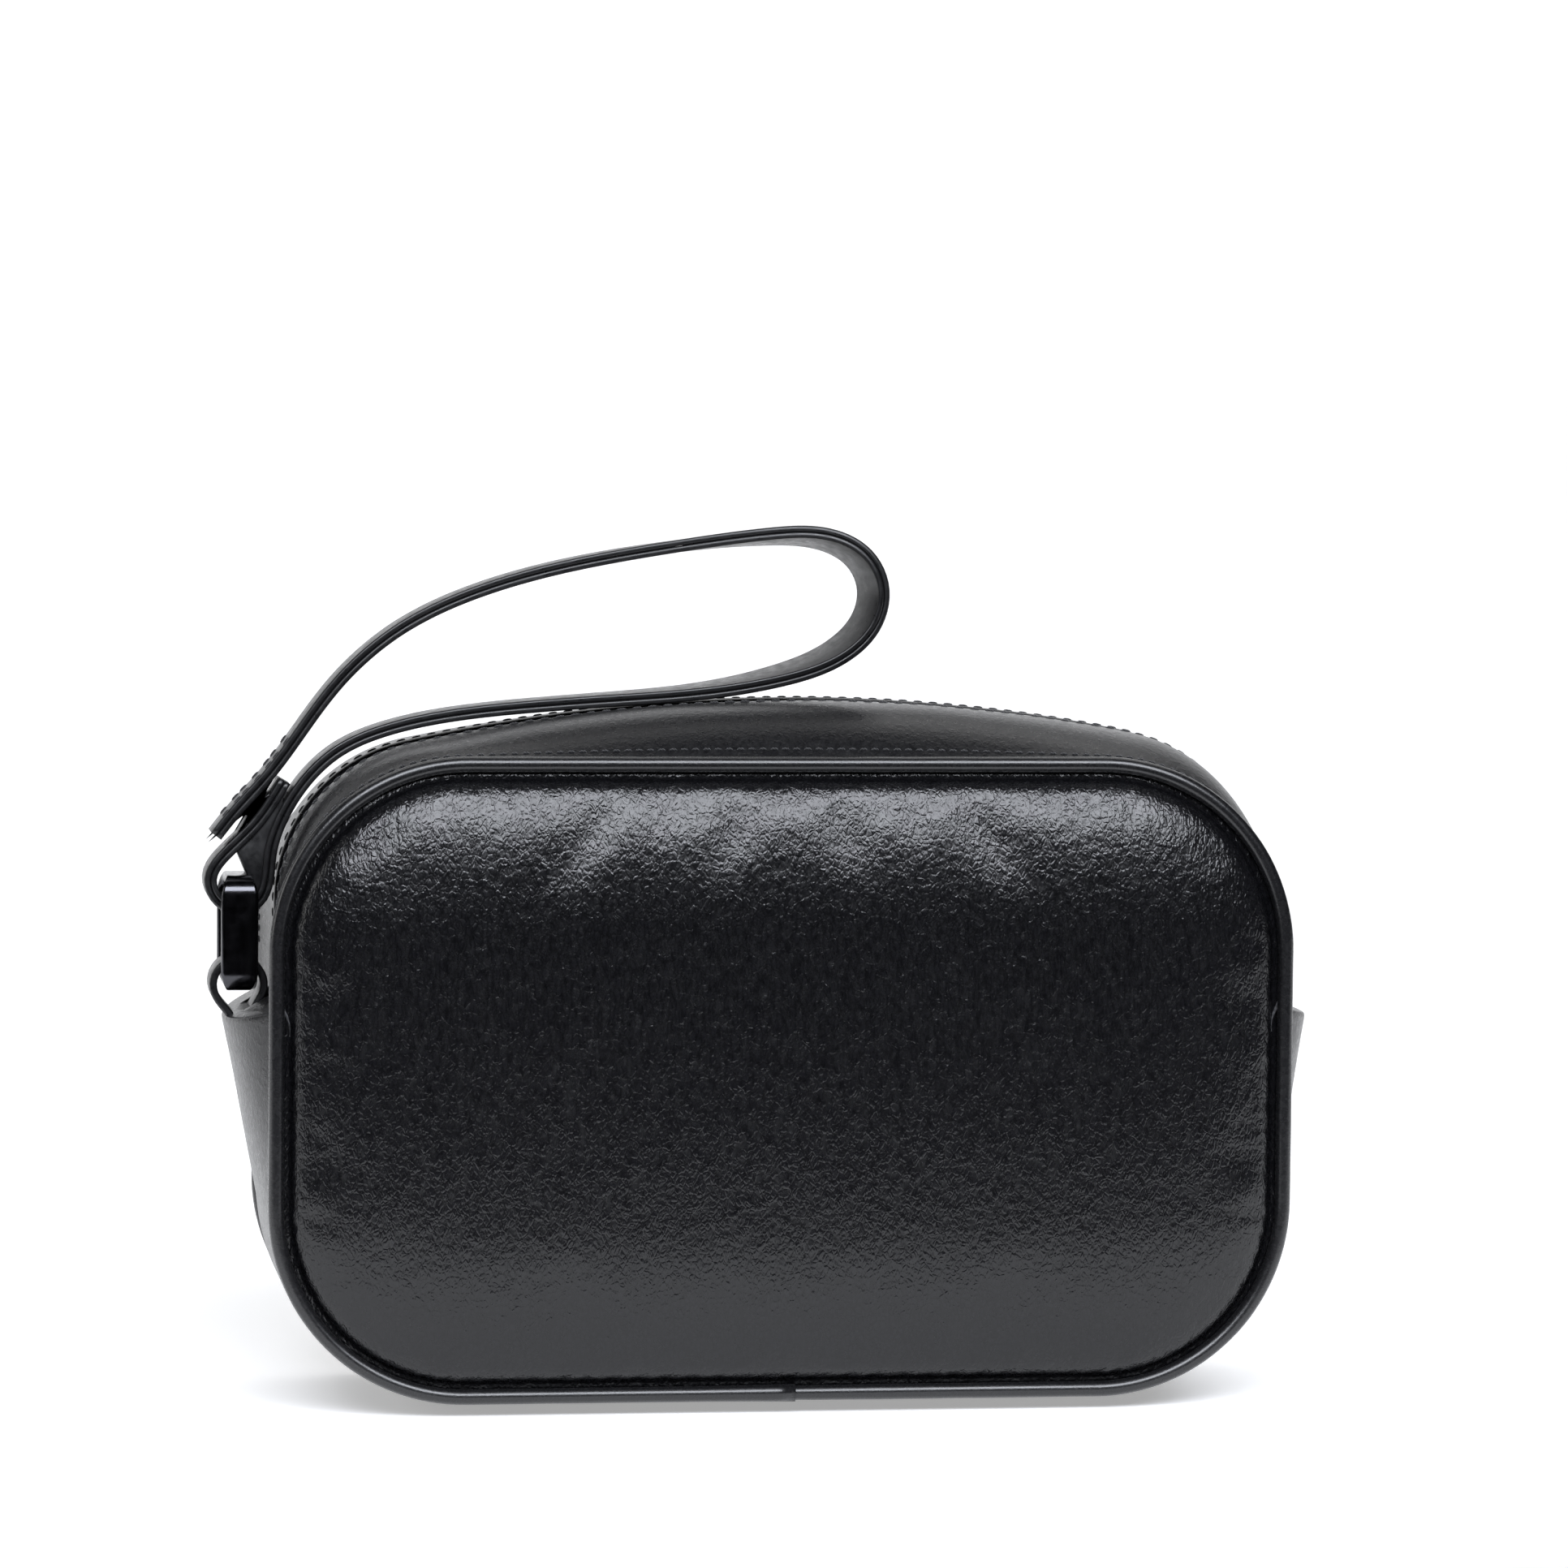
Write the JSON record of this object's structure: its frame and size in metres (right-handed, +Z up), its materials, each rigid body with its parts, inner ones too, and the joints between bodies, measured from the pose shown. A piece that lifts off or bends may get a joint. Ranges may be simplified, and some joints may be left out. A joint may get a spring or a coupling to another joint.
{
  "type": "makeup bag",
  "caption": "Zipped pouch with domed leather faces, piped seams, a zip gusset over the top, a bottom gusset and a wrist strap on a flat-band ring.",
  "frame": {"origin": "middle of the flat underside that the bag stands on", "axes": "+X along the width, towards the end without the wrist strap; the front face looks along -Y; +Z up"},
  "size_m": [0.2299, 0.0748, 0.1793],
  "materials": {
    "leather": "black pebbled leather, semi-gloss",
    "piping": "smooth black leather, glossy",
    "strap_leather": "smooth black leather with painted edges",
    "black_metal": "polished black nickel",
    "zip_tape": "woven black tape",
    "zip_teeth": "black moulded teeth",
    "lining": "black twill lining",
    "foam": "grey foam with scrim",
    "board": "matt bag stiffener"
  },
  "bodies": {
    "bag": {"base_board": "board", "bottom_gusset": "leather", "front_lining": "lining", "front_padding": "foam", "front_panel": "leather", "front_piping": "piping", "front_strip_left": "leather", "front_strip_right": "leather", "gusset_lining": "lining", "rear_lining": "lining", "rear_padding": "foam", "rear_panel": "leather", "rear_piping": "piping", "rear_strip_left": "leather", "rear_strip_right": "leather", "ring_tab": "strap_leather", "slip_pocket": "lining", "zip_stop_left": "black_metal", "zip_stop_right": "black_metal", "zip_tape_left": "zip_tape", "zip_tape_right": "zip_tape", "zip_teeth_left": "zip_teeth", "zip_teeth_right": "zip_teeth"},
    "front_mouth": {"front_panel_top": "leather", "front_piping_top": "piping", "front_lip": "leather", "front_zip_tape": "zip_tape", "front_teeth": "zip_teeth"},
    "rear_mouth": {"rear_panel_top": "leather", "rear_piping_top": "piping", "rear_lip": "leather", "rear_zip_tape": "zip_tape", "rear_teeth": "zip_teeth"},
    "slider": {"zip_slider": "black_metal", "pull_pin": "black_metal"},
    "pull": {"zip_pull": "black_metal"},
    "ring": {"strap_ring": "black_metal"},
    "strap": {"strap_outer_layer": "strap_leather", "strap_inner_layer": "strap_leather"}
  },
  "joints": [
    {"name": "front_mouth_open", "type": "hinge", "parent": "bag", "child": "front_mouth", "pos_m": [0, -0.0376, 0.1], "axis": [1, 0, 0], "range_deg": [0, 30]},
    {"name": "rear_mouth_open", "type": "hinge", "parent": "bag", "child": "rear_mouth", "pos_m": [0, 0.0376, 0.1], "axis": [-1, 0, 0], "range_deg": [0, 30]},
    {"name": "zip_travel", "type": "hinge", "parent": "bag", "child": "slider", "pos_m": [0.006, 0, -0.2258], "axis": [0, -1, 0], "range_deg": [0, 20.6]},
    {"name": "zip_pull_flip", "type": "hinge", "parent": "slider", "child": "pull", "pos_m": [0.06328, 0, 0.13789], "axis": [0, 1, 0], "range_deg": [0, 135]},
    {"name": "ring_swing", "type": "hinge", "parent": "bag", "child": "ring", "pos_m": [-0.1097, 0, 0.0857], "axis": [0, -1, 0], "range_deg": [0, 50]},
    {"name": "strap_swing", "type": "hinge", "parent": "ring", "child": "strap", "pos_m": [-0.1097, 0, 0.1071], "axis": [0, -1, 0], "range_deg": [0, 110]}
  ]
}
